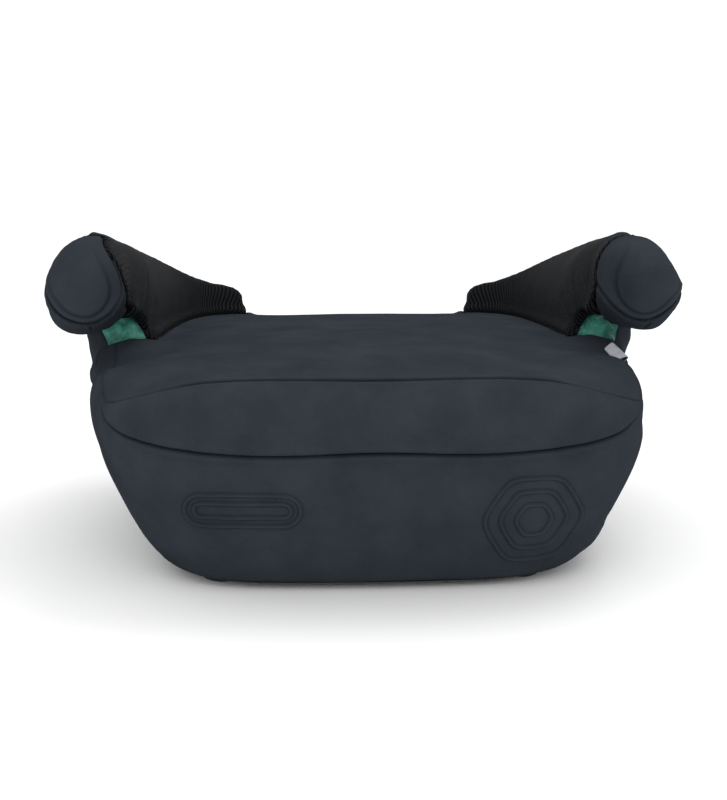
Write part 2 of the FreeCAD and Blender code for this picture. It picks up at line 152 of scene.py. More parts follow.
# ---- soft dips and swellings: side, centre, reach and shift in mm, x counted outwards ----
SWELLS = [
    ("both", (0, -140, 146), (300, 32, 18), (0, 0, -5.6)),
    ("left", (172, -148, 130), (48, 46, 34), (0, 0, -6.5)),
    ("right", (172, -148, 130), (48, 46, 34), (0, 0, -4.5)),
    ("both", (0, -188, 101), (300, 24, 14), (0, 0, -2)),
    ("right", (172, -46, 143), (20, 28, 10), (0, 0, -13)),
    ("right", (176, -134, 134), (22, 30, 22), (-6, 0, 0)),
    ("left", (170, -42, 143), (17, 24, 9), (0, 0, -5)),
    ("right", (84, 177, 155), (20, 20, 30), (-4, 0, 0)),
    ("right", (180, -25, 222), (18, 25, 12), (0, 0, 3)),
]

# ---- seams and the cloth beside them, in mm ----
SEAM_DEPTH = 2.2
SEAM_LIP = 0.65             # the cloth stands this proud beside a seam
WEAK_SEAM = 0.8             # how much of that is lost under the armrests
GATHERS = 46                # folds in one turn of a horn's ring
GATHER_HEIGHT = 0.38
MESH_CALM = 0.25            # the mesh takes this share of the cloth's unevenness
SATIN_FOLD, SATIN_CRUMPLE = 0.7, 1.2

# ---- creases in mm: start, end, depth, half width ----
CREASE_REACH = 4            # half widths from a crease to where it has faded out
CREASES = [
    ((-150, -68, 149), (-60, -71, 150), 0.32, 2.6),
    ((-60, -71, 150), (60, -74, 150), 0.26, 2.4),
    ((60, -74, 150), (165, -80, 147), 0.34, 2.6),
    ((-164, -46, 143), (-144, -60, 149), 0.6, 2.4),
    ((-158, -38, 144), (-132, -44, 149), 0.4, 2.6),
    ((162, -52, 144), (140, -60, 149), 0.4, 2.4),
    ((-187, -87, 170), (-186, -66, 156), 1.1, 1.0),
    ((190, -89, 169), (189, -68, 156), 1.1, 1.0),
    ((-150, -2, 150), (-154, 40, 172), 0.9, 3.4),
    ((-158, -8, 160), (-165, 30, 190), 0.7, 3.0),
    ((152, -2, 150), (156, 44, 172), 0.9, 3.4),
    ((160, -8, 160), (168, 26, 190), 0.7, 3.0),
]

# ---- tape label beside the left guide, in mm unless marked ----
LABEL_START = (172.4, -41.5, 144.4)
LABEL_END = (179.6, -54.0, 136.2)
LABEL_WIDE = (0.77, 0.0, 0.64)
LABEL_HALF_WIDTH = (3.8 * MM, 4.7 * MM)   # at its sewn end and its free end
LABEL_HALF_GAP = (1.2 * MM, 2.6 * MM)
LABEL_WALL = 0.55 * MM
LABEL_SKEW = 0.25           # how oblique the free end is cut
LABEL_BOW = 0.6             # how far its middle bows out
LABEL_ROWS = 10
LABEL_TURNS = 40

# ---- embossing on the front skirt: x, z and size ----
PILL = (-85.0, 60.5, 37.0, 11.0)          # centre, half length, half height
RINGS = (102.0, 51.0, (30.0, 20.5, 11.0))  # centre and radii
EMBOSS_WIDTH = 1.1
EMBOSS_HEIGHT = 1.7
EMBOSS_PANEL = (-125, 95)                 # it lies in front of this y and below this z
OFF_THE_PANEL = 99.0


# ---------------------------------------------------------------- small sums
def fade(values, start, full):
    """0 at `start` and 1 at `full`, which are in mm, for an array in metres."""
    return np.clip((values / MM - start) / (full - start), 0, 1)


def fade_one(value, start, full):
    return min(max((value / MM - start) / (full - start), 0), 1)


def bell(value, centre, width):
    return math.exp(-((value - centre) / width) ** 2)


def side_of(point):
    return "left" if point[0] > 0 else "right"


# ---------------------------------------------------------------- meshes
def node_arrays(names):
    """Vertices and triangles of several CAD nodes as one soup."""
    points, faces, base = [], [], 0
    for name in names:
        mesh = NODES[name].data
        mesh.calc_loop_triangles()
        tri = np.empty(len(mesh.loop_triangles) * 3, np.int32)
        mesh.loop_triangles.foreach_get("vertices", tri)
        points.append(vertex_array(mesh))
        faces.append(tri.reshape(-1, 3) + base)
        base += len(mesh.vertices)
    return np.concatenate(points), np.concatenate(faces)


def mesh_object(name, mesh):
    obj = bpy.data.objects.new(name, mesh)
    bpy.context.scene.collection.objects.link(obj)
    return obj


def apply_modifier(obj, kind, **settings):
    mod = obj.modifiers.new(kind.lower(), kind)
    for key, value in settings.items():
        setattr(mod, key, value)
    bpy.context.view_layer.objects.active = obj
    bpy.ops.object.modifier_apply(modifier=mod.name)


def vertex_array(mesh):
    co = np.empty(len(mesh.vertices) * 3, np.float32)
    mesh.vertices.foreach_get("co", co)
    return co.reshape(-1, 3).astype(np.float64)


def set_vertex_array(mesh, co):
    mesh.vertices.foreach_set("co", co.astype(np.float32).ravel())
    mesh.update()


def vertex_normals(mesh):
    no = np.empty(len(mesh.vertices) * 3, np.float32)
    mesh.vertices.foreach_get("normal", no)
    return no.reshape(-1, 3).astype(np.float64)


def edge_array(mesh):
    edges = np.empty(len(mesh.edges) * 2, np.int32)
    mesh.edges.foreach_get("vertices", edges)
    return edges.reshape(-1, 2)


def neighbour_mean(points, edges):
    count = np.bincount(edges.ravel(), minlength=len(points))
    mean = np.empty_like(points)
    for axis in range(3):
        values = points[:, axis]
        total = np.bincount(edges[:, 0], values[edges[:, 1]], len(points))
        total += np.bincount(edges[:, 1], values[edges[:, 0]], len(points))
        mean[:, axis] = total / np.maximum(count, 1)
    return mean


def connected(start, neighbours):
    """Everything that can be reached from `start`."""
    seen, queue = {start}, [start]
    while queue:
        for other in neighbours(queue.pop()):
            if other not in seen:
                seen.add(other)
                queue.append(other)
    return seen


def biggest_piece(mesh):
    """Keeps the outermost shell of a remeshed object."""
    bm = bmesh.new()
    bm.from_mesh(mesh)
    left, groups = set(bm.verts), []
    while left:
        group = connected(next(iter(left)), lambda v: [e.other_vert(v) for e in v.link_edges])
        left -= group
        groups.append(group)
    groups.sort(key=len)
    for group in groups[:-1]:
        bmesh.ops.delete(bm, geom=list(group), context="VERTS")
    bm.to_mesh(mesh)
    bm.free()


def make_skin():
    """One smooth skin round everything the cover wraps, with the voxels' steps smoothed away."""
    wrapped = [n for n in NODES if n.endswith(RIGID + ("cover", "foam", "guide"))]
    points, faces = node_arrays(wrapped)
    mesh = bpy.data.meshes.new("skin")
    mesh.from_pydata(points.tolist(), [], faces.tolist())
    skin = mesh_object("skin", mesh)
    apply_modifier(skin, "REMESH", mode="VOXEL", voxel_size=SKIN_VOXEL, adaptivity=0.0)
    biggest_piece(skin.data)
    points, edges = vertex_array(skin.data), edge_array(skin.data)
    for step in range(SKIN_ROUNDS):
        factor = 0.5 if step % 2 == 0 else -0.51
        points += factor * (neighbour_mean(points, edges) - points)
    set_vertex_array(skin.data, points)
    return skin


# ---------------------------------------------------------------- which panel a point belongs to
def region(name):
    points, faces = node_arrays([PANELS[name][0]])
    low, high = points.min(0) - SEAM_REACH, points.max(0) + SEAM_REACH
    return low.tolist(), high.tolist(), BVHTree.FromPolygons(points.tolist(), faces.tolist())


REGIONS = [region(name) for name in NAMES]


def ring_side(point, side):
    """Signed distance to the horn's seam ring, above 0 on the cap's side."""
    out, up = abs(point[0]) - RING_CENTRE.x, point[2] - RING_CENTRE.z
    turn = math.atan2(up, out)
    mean, across, upwards, across_twice, upwards_twice = RING[side]
    radius = mean + across * math.cos(turn) + upwards * math.sin(turn)
    radius += across_twice * math.cos(2 * turn) + upwards_twice * math.sin(2 * turn)
    inside = radius * MM - math.hypot(out, up)
    y, down, inwards = RING_BACK[side]
    inner = RING_TOP[0] - abs(point[0])
    limit = y - down * (RING_TOP[1] - point[2])
    limit += inwards * (inner + math.hypot(inner, RING_BEND)) / 2
    ahead = RING_LEAN * (limit - point[1])
    blend = max(RING_ROUND - abs(inside - ahead), 0) / RING_ROUND
    return min(inside, ahead) - blend * blend * RING_ROUND / 4


def guide_side(point, side):
    """Signed distance to the guide's edges inside the slot, above 0 on the satin."""
    x, y, z = abs(point[0]), point[1] - SLOT_AXIS[0], point[2] - SLOT_AXIS[1]
    inner = x - GUIDE_INNER[side][0] - GUIDE_INNER[side][1] * z - GUIDE_BOW[0] * z * z
    outer = GUIDE_OUTER[side][0] + GUIDE_OUTER[side][1] * z - GUIDE_BOW[1] * z * z - x
    return min(inner, outer, SATIN_RADIUS - math.hypot(y, z))


def mesh_side(point, side):
    """Signed distance to the mesh's edge on an armrest, above 0 on the mesh."""
    x, y = max(abs(point[0]) - ARM_CENTRE[0], 0), max(point[1] - ARM_CENTRE[1], 0)
    share = ((x / ARM_REACH[0]) ** ARM_POWER + (y / ARM_REACH[1]) ** ARM_POWER) ** (1 / ARM_POWER)
    to_mid_line = math.hypot(x, y) * (1 / max(share, 0.2) - 1)
    front, sweep = MESH_FRONT[side]
    back, edge, slope = MESH_BACK
    back -= slope * max(edge - abs(point[0]), 0)
    behind = point[1] - min(front + sweep * max(MESH_FRONT_TOP - point[2], 0) ** 2, back)
    return min(to_mid_line + MESH_OVER_CREST, MESH_LEAN * behind)


def claim(found, owner, rivals, value):
    """Moves the border between one panel and its rivals to where `value` is 0."""
    nearest = min(found[r] for r in rivals)
    base = min(found[owner], nearest)
    for rival in rivals:
        found[rival] += base + max(value, 0) - nearest
    found[owner] = base + max(-value, 0)


def panel_distances(point):
    """Distance from a point to every panel's region, no further than about SEAM_REACH."""
    side = side_of(point)
    found = [SEAM_REACH] * len(NAMES)
    for index, (low, high, tree) in enumerate(REGIONS):
        if all(low[i] < point[i] < high[i] for i in range(3)):
            hit = tree.find_nearest(point, SEAM_REACH)
            if hit[3] is not None:
                found[index] = hit[3]
    mesh, outer, cap, guide = (INDEX[f"{side}_{part}_panel"]
                               for part in ("arm_mesh", "arm_outer", "horn_cap", "belt_guide"))
    if min(found[mesh], found[outer], found[cap], found[guide]) < SEAM_REACH:
        reach = min(found[mesh], found[outer], found[cap]) - found[guide] + GUIDE_SPREAD
        claim(found, mesh, (outer,), mesh_side(point, side))
        claim(found, guide, (mesh, outer, cap), min(guide_side(point, side), reach))
        claim(found, cap, (mesh, outer), ring_side(point, side))
    return found


def seam_margin(distances):
    """How much nearer the nearest panel is than the next one: about the distance to the seam."""
    first, second = sorted(distances)[:2]
    return second - first


# ---------------------------------------------------------------- taut cover and filling
def bridge_step(mesh):
    """Lets the cover span the step between each armrest's foot and the base, outwards only."""
    points, normals, edges = vertex_array(mesh), vertex_normals(mesh), edge_array(mesh)
    reach, height = np.abs(points[:, 0]), points[:, 2]
    weight = fade(reach, 150, 165) * fade(height, 80, 95) * fade(height, 139, 131)
    for _ in range(BRIDGE_ROUNDS):
        outward = ((neighbour_mean(points, edges) - points) * normals).sum(1)
        points += normals * (weight * np.maximum(outward, 0))[:, None]
    weight = fade(reach, 168, 178) * fade(height, 98, 110) * fade(height, 151, 145)
    weight *= fade(points[:, 1], 90, 60) * fade(points[:, 1], -125, -95)
    for _ in range(SOFTEN_ROUNDS):
        points += 0.5 * weight[:, None] * (neighbour_mean(points, edges) - points)
    set_vertex_array(mesh, points)


def pull_taut(mesh, owner, margins):
    """Stretches the arms' panels between their seams: they bridge hollows but stay on the foam."""
    arms = [INDEX[n] for n in NAMES if "_arm_" in n]
    weight = fade(margins, *TAUT_FADE) * np.isin(owner, arms)
    start, normals, edges = vertex_array(mesh), vertex_normals(mesh), edge_array(mesh)
    points = start.copy()
    for _ in range(TAUT_ROUNDS):
        points += 0.5 * weight[:, None] * (neighbour_mean(points, edges) - points)
        inward = np.minimum(((points - start) * normals).sum(1) + PADDING_GIVE, 0)
        points -= normals * inward[:, None]
    set_vertex_array(mesh, points)


def clear_frame(mesh):
    """Lifts the skin wherever it would dip into the rigid parts under it."""
    points, faces = node_arrays([n for n in NODES if n.endswith(RIGID)])
    tree = BVHTree.FromPolygons(points.tolist(), faces.tolist())
    lifts = np.zeros((len(mesh.vertices), 3))
    for i, vert in enumerate(mesh.vertices):
        above = vert.co + vert.normal * FRAME_SEARCH
        distance = tree.ray_cast(above, -vert.normal, FRAME_SEARCH + FRAME_GAP)[3]
        if distance is not None:
            lifts[i] = vert.normal * (FRAME_SEARCH + FRAME_GAP - distance)
    set_vertex_array(mesh, vertex_array(mesh) + lifts)


def smooth_step(share):
    share = np.clip(share, 0, 1)
    return share * share * (3 - 2 * share)


def reshape(mesh):
    """Sets each side's outline, and the padding's soft dips and swellings."""
    points = vertex_array(mesh)
    reach, depth, height = np.abs(points[:, 0]), points[:, 1].copy(), points[:, 2].copy()
    slices = (height / TRIM_LEVEL).astype(int)
    amount = np.where(height < ARM_FOOT, np.interp(depth, *BASE_TRIM), np.interp(depth, *ARM_TRIM))
    on_side = {"left": points[:, 0] > 0, "right": points[:, 0] < 0}
    for side, chosen in on_side.items():
        widest = np.zeros(slices.max() + 1)
        np.maximum.at(widest, slices[chosen], reach[chosen])
        outline = np.interp(height, (np.arange(len(widest)) + 0.5) * TRIM_LEVEL, widest)
        heights, shifts = np.array(SIDE_TRIM[side]).T * MM
        outer = smooth_step((reach / outline - TRIM_INNER) / (1 - TRIM_INNER))
        shift = np.interp(height, heights, shifts) * outer
        points[:, 0] += np.where(chosen, shift * amount, 0) * np.sign(points[:, 0])
    mirrored = np.column_stack([reach, depth, height])
    for side, centre, size, shift in SWELLS:
        away = (mirrored - np.array(centre) * MM) / (np.array(size) * MM)
        weight = np.exp(-(away ** 2).sum(1)) * (1 if side == "both" else on_side[side])
        move = weight[:, None] * (np.array(shift) * MM)
        move[:, 0] *= np.sign(points[:, 0])
        points += move
    set_vertex_array(mesh, points)


def fill_out(skin, owner, margins):
    """Shrinks the skin a little and lets pressure fill it out between its held seams."""
    mesh = skin.data
    start = vertex_array(mesh)
    hold = np.maximum(fade(margins, *SEAM_HOLD), fade(start[:, 2], *FOOT_HOLD))
    shrunk = start - vertex_normals(mesh) * (SHRINK * (1 - hold))[:, None]
    set_vertex_array(mesh, shrunk)
    group = skin.vertex_groups.new(name="hold")
    for i in np.nonzero(hold > 0.02)[0]:
        group.add([int(i)], float(hold[i]), "REPLACE")
    cloth = skin.modifiers.new("cloth", "CLOTH")
    cloth.settings.quality = 4
    cloth.settings.mass = 0.3
    cloth.settings.tension_stiffness = 12
    cloth.settings.compression_stiffness = 12
    cloth.settings.bending_stiffness = 0.6
    cloth.settings.use_pressure = True
    cloth.settings.uniform_pressure_force = 4
    cloth.settings.effector_weights.gravity = 0
    cloth.settings.vertex_group_mass = "hold"
    cloth.collision_settings.use_collision = False
    cloth.collision_settings.use_self_collision = False
    cloth.point_cache.frame_start = 1
    cloth.point_cache.frame_end = CLOTH_STEPS
    for step in range(1, CLOTH_STEPS + 1):
        bpy.context.scene.frame_set(step)
    shown = skin.evaluated_get(bpy.context.evaluated_depsgraph_get())
    moved = vertex_array(shown.to_mesh())
    shown.to_mesh_clear()
    skin.modifiers.clear()
    bpy.context.scene.frame_set(1)
    shift = moved - shrunk
    cap = np.array([PANELS[name][4] for name in NAMES])[owner] + SHRINK
    shift *= np.minimum(1, cap / np.maximum(np.linalg.norm(shift, axis=1), 1e-9))[:, None]
    points, edges = shrunk + shift, edge_array(mesh)
    for _ in range(3):
        points += 0.5 * (neighbour_mean(points, edges) - points)
    set_vertex_array(mesh, points)


# ---------------------------------------------------------------- cutting the skin into panels
def refine(bm, rest_layer, near, levels):
    """Subdivides the skin where `near` holds for a vertex's rest place."""
    for level in range(levels):
        close = {v for v in bm.verts if near(v[rest_layer], level)}
        edges = [e for e in bm.edges if e.verts[0] in close or e.verts[1] in close]
        bmesh.ops.subdivide_edges(bm, edges=edges, cuts=1, use_grid_fill=True, smooth=0)


def nearest_panel(point):
    found = panel_distances(point)
    return found.index(min(found))


def cut_seams(bm, rest_layer):
    """Cuts the skin along every line where two panels are equally near."""
    bm.verts.index_update()
    values = [panel_distances(v[rest_layer]) for v in bm.verts]
    label = [d.index(min(d)) for d in values]
    cuts = []
    for edge in bm.edges:
        v0, v1 = edge.verts
        a, b = label[v0.index], label[v1.index]
        if a != b:
            g0 = values[v0.index][b] - values[v0.index][a]
            g1 = values[v1.index][a] - values[v1.index][b]
            cuts.append((edge, v0, v1, g0 / max(g0 + g1, 1e-9)))
    moves, on_seam = {}, set()
    for edge, v0, v1, share in cuts:
        if share < 0.2:
            moves.setdefault(v0, []).append((share, v1))
        elif share > 0.8:
            moves.setdefault(v1, []).append((1 - share, v0))
    for vert, options in moves.items():
        share, other = min(options, key=lambda option: option[0])
        vert.co = vert.co.lerp(other.co, share)
        vert[rest_layer] = vert[rest_layer].lerp(other[rest_layer], share)
        on_seam.add(vert)
    for edge, v0, v1, share in cuts:
        if v0 not in on_seam and v1 not in on_seam:
            on_seam.add(bmesh.utils.edge_split(edge, v0, share)[1])
    bmesh.ops.connect_verts(bm, verts=list(on_seam))
    return on_seam


def label_faces(bm, rest_layer, on_seam):
    known = {v: nearest_panel(v[rest_layer]) for v in bm.verts if v not in on_seam}
    for face in bm.faces:
        votes = {known[v] for v in face.verts if v in known}
        if len(votes) == 1:
            face.material_index = votes.pop()
        else:
            centre = sum((v[rest_layer] for v in face.verts), Vector()) / len(face.verts)
            face.material_index = nearest_panel(centre)


def face_neighbours(face):
    return [f for edge in face.edges for f in edge.link_faces if f is not face]


def absorb_islands(bm):
    """Gives small scraps of a panel to the panel round them, so that each panel is one sheet."""
    left, groups = set(bm.faces), {}
    while left:
        start = next(iter(left))
        label = start.material_index
        group = connected(
            start, lambda f: [g for g in face_neighbours(f) if g.material_index == label])
        left -= group
        groups.setdefault(label, []).append(group)
    for label, pieces in groups.items():
        pieces.sort(key=len)
        for group in pieces[:-1]:
            border = [g.material_index for f in group for g in face_neighbours(f) if g not in group]
            if border:
                winner = max(sorted(set(border)), key=border.count)
                for face in group:
                    face.material_index = winner


# ---------------------------------------------------------------- seams, creases and embossing
def seam_tree(bm):
    places = []
    for edge in bm.edges:
        if len({f.material_index for f in edge.link_faces}) > 1:
            a, b = edge.verts[0].co, edge.verts[1].co
            places += [a.copy(), (a + b) / 2]
    tree = KDTree(len(places))
    for i, place in enumerate(places):
        tree.insert(place, i)
    tree.balance()
    return tree


def crease_depth(place, normal):
    total = 0.0
    for start, end, depth, half in CREASES:
        a, b = Vector(start) * MM, Vector(end) * MM
        share = max(0.0, min(1.0, (place - a).dot(b - a) / (b - a).length_squared))
        away = place - a.lerp(b, share)
        away -= normal * away.dot(normal)
        distance = away.length / MM / half
        if distance < CREASE_REACH:
            ends = min(1.0, 0.25 + 4 * share * (1 - share) * 1.5)
            total += depth * ends * (0.45 * bell(distance, 2.1, 0.9) - bell(distance, 0, 1))
    return total


def pill_distance(x, z):
    cx, cz, half_length, half_height = PILL
    along = max(abs(x - cx) - (half_length - half_height), 0)
    return math.hypot(along, z - cz), half_height


def hexagon_radius(x, z):
    """Distance from the middle of the rings, measured in a hexagon with rounded corners."""
    u, v = x - RINGS[0], z - RINGS[1]
    total = 0.0
    for step in range(3):
        angle = math.radians(60 * step + 30)
        total += abs(u * math.cos(angle) + v * math.sin(angle)) ** 9
    return total ** (1 / 9)


def emboss_distance(place):
    """Millimetres from a point on the front skirt to the nearest embossed line."""
    x, y, z = place[0] / MM, place[1] / MM, place[2] / MM
    if y > EMBOSS_PANEL[0] or z > EMBOSS_PANEL[1]:
        return OFF_THE_PANEL
    reach, edge = pill_distance(x, z)
    lines = [abs(reach - edge), abs(reach - edge * 0.45)]
    if abs(x - RINGS[0]) < 50:
        radius = hexagon_radius(x, z)
        lines += [abs(radius - r) for r in RINGS[2]]
    return min(lines)


def seam_strength(place):
    """How deep a seam sinks: hardly at all where the base's panels meet under the armrests."""
    around = fade_one(abs(place[0]), 145, 165) * fade_one(place[1], -165, -135)
    band = fade_one(place[2], 90, 100) * fade_one(place[2], 156, 150)
    return 1 - WEAK_SEAM * around * band


def is_horn_front(place):
    return place[1] < -0.025 and place[2] > 0.150 and abs(place[0]) > 0.15


def owner_is_mesh(vert):
    return any(f.material_index in MESH_PANELS for f in vert.link_faces)


def gathers(place, vert):
    """Small folds where the mesh is sewn to the horn's ring, running away from it."""
    if not is_horn_front(place) or not owner_is_mesh(vert):
        return 0.0
    away = -ring_side(place, side_of(place)) / MM
    angle = math.atan2(place[2] - RING_CENTRE.z, abs(place[0]) - RING_CENTRE.x)
    fold = math.sin(GATHERS * angle + 2.0 * noise.noise(place * 40))
    return GATHER_HEIGHT * fold * bell(away, 5, 4.0)


def relief(bm, rest_layer):
    """Sinks seams and creases, raises the embossing, and stores the shade painted on each point:
    dark in the seams, in the welt beside the horn's ring and at the foot of the embossed lines.
    """
    tree = seam_tree(bm)
    painted_shade_layer = bm.verts.layers.float.new("painted_shade")
    bm.normal_update()
    shifts = []
    for vert in bm.verts:
        place, rest_place = vert.co, vert[rest_layer]
        distance = tree.find(place)[2] / MM
        pucker = 1 + 0.35 * noise.noise(place * 190)
        strength = seam_strength(rest_place)
        height = -SEAM_DEPTH * strength * bell(distance, 0, 1.25)
        height += SEAM_LIP * strength * pucker * bell(distance, 4.4, 2.4)
        # painted shade in the seam's groove
        line = strength * bell(distance, 0, 1.3)
        if is_horn_front(rest_place):
            welt = (ring_side(rest_place, side_of(rest_place)) - WELT) / MM
            away = rest_place - RING_CENTRE
            outwards = abs(rest_place[0]) - RING_CENTRE.x
            shown = max(0.0, min(1.0, 0.6 - 25 * away.z - 10 * outwards))
            height += shown * (0.35 * bell(welt, -2.4, 1.4) - bell(welt, 0, 1.0))
            # painted shade in the welt's groove
            line = max(line, 0.55 * shown * bell(welt, 0, 1.0))
        height += crease_depth(place, vert.normal)
        emboss = emboss_distance(rest_place) / EMBOSS_WIDTH
        height += EMBOSS_HEIGHT * math.exp(-emboss ** 4)
        # painted shade along the foot of the embossed lines
        line = max(line, 0.35 * bell(emboss, 1.5, 0.5))
        calm = MESH_CALM if owner_is_mesh(vert) else 1.0
        calm *= 1 - 0.8 * bell(distance, 0, 7)
        height += calm * (0.5 * noise.noise(place * 17) + 0.2 * noise.noise(place * 45))
        height += gathers(rest_place, vert)
        # the painted shade that the materials darken their colour by
        vert[painted_shade_layer] = line
        shifts.append(vert.normal * (height * MM))
    for vert, shift in zip(bm.verts, shifts):
        vert.co += shift


def wrinkle_satin(bm):
    """Fine pulled folds in the belt guides, running between their corners."""
    satin = {INDEX["left_belt_guide_panel"], INDEX["right_belt_guide_panel"]}
    for vert in bm.verts:
        if all(f.material_index in satin for f in vert.link_faces):
            x, z = abs(vert.co.x) / MM, vert.co.z / MM
            along = x * 0.8 + z * 0.6 + 3.0 * noise.noise(vert.co * 90)
            fold = SATIN_FOLD * math.sin(along * 0.6) + SATIN_CRUMPLE * noise.noise(vert.co * 70)
            vert.co += vert.normal * (fold * MM)


# ---------------------------------------------------------------- the whole cover
def wants_detail(place, level):
    if place[2] < 0.012 and level > 0:
        return False
    if level == 2:
        return emboss_distance(place) < 2.5
    if seam_margin(panel_distances(place)) < FINE_BAND * (1.3 - 0.5 * level):
        return True
    if emboss_distance(place) < 6 - 2.5 * level:
        return True
    if is_horn_front(place):
        if abs(ring_side(place, side_of(place)) - WELT) < (5 - 2 * level) * MM:
            return True
    return abs(crease_depth(place, Vector((0, 0, 0)))) > 0.04


def make_cover():
    skin = make_skin()
    bridge_step(skin.data)
    rest = vertex_array(skin.data)
    distances = np.array([panel_distances(p) for p in rest.tolist()])
    owner = distances.argmin(1)
    order = np.sort(distances, axis=1)
    margins = order[:, 1] - order[:, 0]
    pull_taut(skin.data, owner, margins)
    reshape(skin.data)
    fill_out(skin, owner, margins)
    clear_frame(skin.data)
    attribute = skin.data.attributes.new("rest", "FLOAT_VECTOR", "POINT")
    attribute.data.foreach_set("vector", rest.astype(np.float32).ravel())

    bm = bmesh.new()
    bm.from_mesh(skin.data)
    rest_layer = bm.verts.layers.float_vector["rest"]
    refine(bm, rest_layer, wants_detail, REFINE_LEVELS)
    label_faces(bm, rest_layer, cut_seams(bm, rest_layer))
    absorb_islands(bm)
    relief(bm, rest_layer)
    wrinkle_satin(bm)
    skirt_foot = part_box("front_skirt_cover")[0].z
    bmesh.ops.bisect_plane(bm, geom=bm.verts[:] + bm.edges[:] + bm.faces[:], dist=1e-6,
                           plane_co=(0, 0, skirt_foot), plane_no=(0, 0, 1), clear_inner=True)
    bm.to_mesh(skin.data)
    bm.free()
    return skin


def split_cover(skin):
    """Makes one object of each panel, with the thickness of its fabric."""
    for index, name in enumerate(NAMES):
        part = bmesh.new()
        part.from_mesh(skin.data)
        others = [f for f in part.faces if f.material_index != index]
        bmesh.ops.delete(part, geom=others, context="FACES")
        for face in part.faces:
            face.material_index = 0
            face.smooth = True
        mesh = bpy.data.meshes.new(name)
        part.to_mesh(mesh)
        part.free()
        panel = mesh_object(name, mesh)
        apply_modifier(panel, "SOLIDIFY", thickness=FABRIC, offset=-1.0, use_even_offset=False)
        _, stands_for, slot, fill, _ = PANELS[name]
        panel.data.materials.clear()
        panel.data.materials.append(MATERIALS[slot])
        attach(panel, "root")
        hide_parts(*stands_for)
    bpy.data.objects.remove(skin)


# ---------------------------------------------------------------- tape label
def make_label():
    """A short folded tape: pinched where it is sewn in, and open at its free end."""
    start, end = Vector(LABEL_START) * MM, Vector(LABEL_END) * MM
    along = (end - start).normalized()
    wide = Vector(LABEL_WIDE)
    wide = (wide - along * wide.dot(along)).normalized()
    thin = along.cross(wide)
    bm = bmesh.new()
    shade = bm.verts.layers.float.new("painted_shade")
    rows = []
    for wall in (0.0, LABEL_WALL):
        for step in range(LABEL_ROWS + 1):
            share = step / LABEL_ROWS
            half_wide = LABEL_HALF_WIDTH[0] * (1 - share) + LABEL_HALF_WIDTH[1] * share - wall
            half_thin = LABEL_HALF_GAP[0] * (1 - share) + LABEL_HALF_GAP[1] * share - wall
            middle = start.lerp(end, share) + thin * (LABEL_BOW * math.sin(math.pi * share) * MM)
            row = []
            for turn in range(LABEL_TURNS):
                angle = 2 * math.pi * turn / LABEL_TURNS
                across = wide * (half_wide * math.cos(angle)) + thin * (half_thin * math.sin(angle))
                skew = along * (LABEL_SKEW * share * half_wide * math.cos(angle))
                row.append(bm.verts.new(middle + across + skew))
                # the inner wall gets full painted shade, for the dark inside of the fold
                row[-1][shade] = float(wall > 0)
            rows.append(row)
    half = LABEL_ROWS + 1
    strips = [(rows[i], rows[i + 1]) for i in range(LABEL_ROWS)]
    strips += [(rows[half + i + 1], rows[half + i]) for i in range(LABEL_ROWS)]
    strips += [(rows[half], rows[0]), (rows[LABEL_ROWS], rows[-1])]
    for first, second in strips:
        for turn in range(LABEL_TURNS):
            after = (turn + 1) % LABEL_TURNS
            bm.faces.new((first[turn], first[after], second[after], second[turn]))
    bmesh.ops.recalc_face_normals(bm, faces=bm.faces)
    for face in bm.faces:
        face.smooth = True
    mesh = bpy.data.meshes.new("tape_label")
    bm.to_mesh(mesh)
    bm.free()
    label = mesh_object("tape_label", mesh)
    mesh.materials.append(MATERIALS["label_tape"])
    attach(label, "root")
    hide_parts("label_loop")


